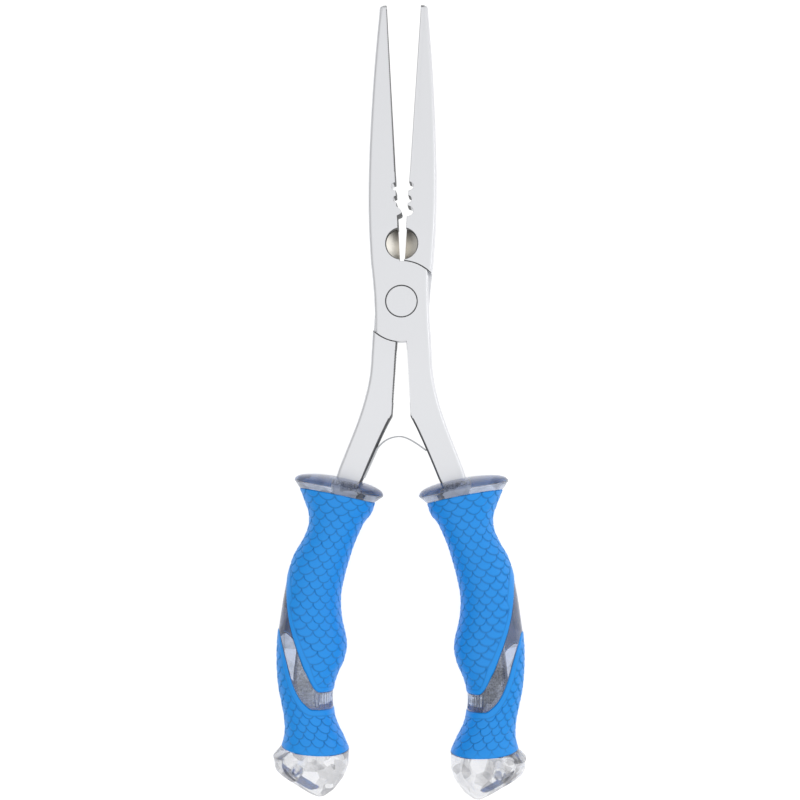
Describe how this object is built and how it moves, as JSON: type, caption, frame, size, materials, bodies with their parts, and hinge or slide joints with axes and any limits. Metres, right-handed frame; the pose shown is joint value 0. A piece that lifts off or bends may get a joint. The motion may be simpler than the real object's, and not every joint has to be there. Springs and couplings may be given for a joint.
{
  "type": "fishing pliers",
  "caption": "Long-reach pliers with a lap joint, flush wire cutter, crimping notches, leaf spring and clear-cored handles with soft scaled grips.",
  "frame": {"origin": "middle of the length and width of the open pliers lying flat, at the height of the lowest point of the flanges", "axes": "+Y towards the jaw tips, +X to the right as seen from above, +Z out of the face with the rivet of the front lever"},
  "size_m": [0.0822, 0.2587, 0.025],
  "materials": {
    "blasted_steel": "bead-blasted satin",
    "cutter_carbide": "ground, slightly warm",
    "spring_steel": "bright rolled strip",
    "clear_plastic": "clear, polished",
    "blue_rubber": "satin with embossed scales"
  },
  "bodies": {
    "front_half": {"front_lever": "blasted_steel", "pivot_pin": "blasted_steel", "left_cutter": "cutter_carbide", "right_handle_core": "clear_plastic", "right_upper_grip": "blue_rubber", "right_lower_grip": "blue_rubber"},
    "back_half": {"back_lever": "blasted_steel", "right_cutter": "cutter_carbide", "leaf_spring_foot": "spring_steel", "left_handle_core": "clear_plastic", "left_upper_grip": "blue_rubber", "left_lower_grip": "blue_rubber"},
    "spring_strip": {"leaf_spring_arch": "spring_steel"}
  },
  "joints": [
    {"name": "pivot", "type": "hinge", "parent": "front_half", "child": "back_half", "pos_m": [0, 0.0316, 0.0125], "axis": [0, 0, 1], "range_deg": [0, 6.6], "stiffness_Nm_per_rad": 4, "springref_deg": -1.72},
    {"name": "spring_flex", "type": "hinge", "parent": "back_half", "child": "spring_strip", "pos_m": [-0.0077, -0.0165, 0.0125], "axis": [0, 0, 1], "range_deg": [-41, 0]}
  ],
  "couplings": [
    {"joint": "spring_flex", "follows": "pivot", "ratio": -6}
  ]
}
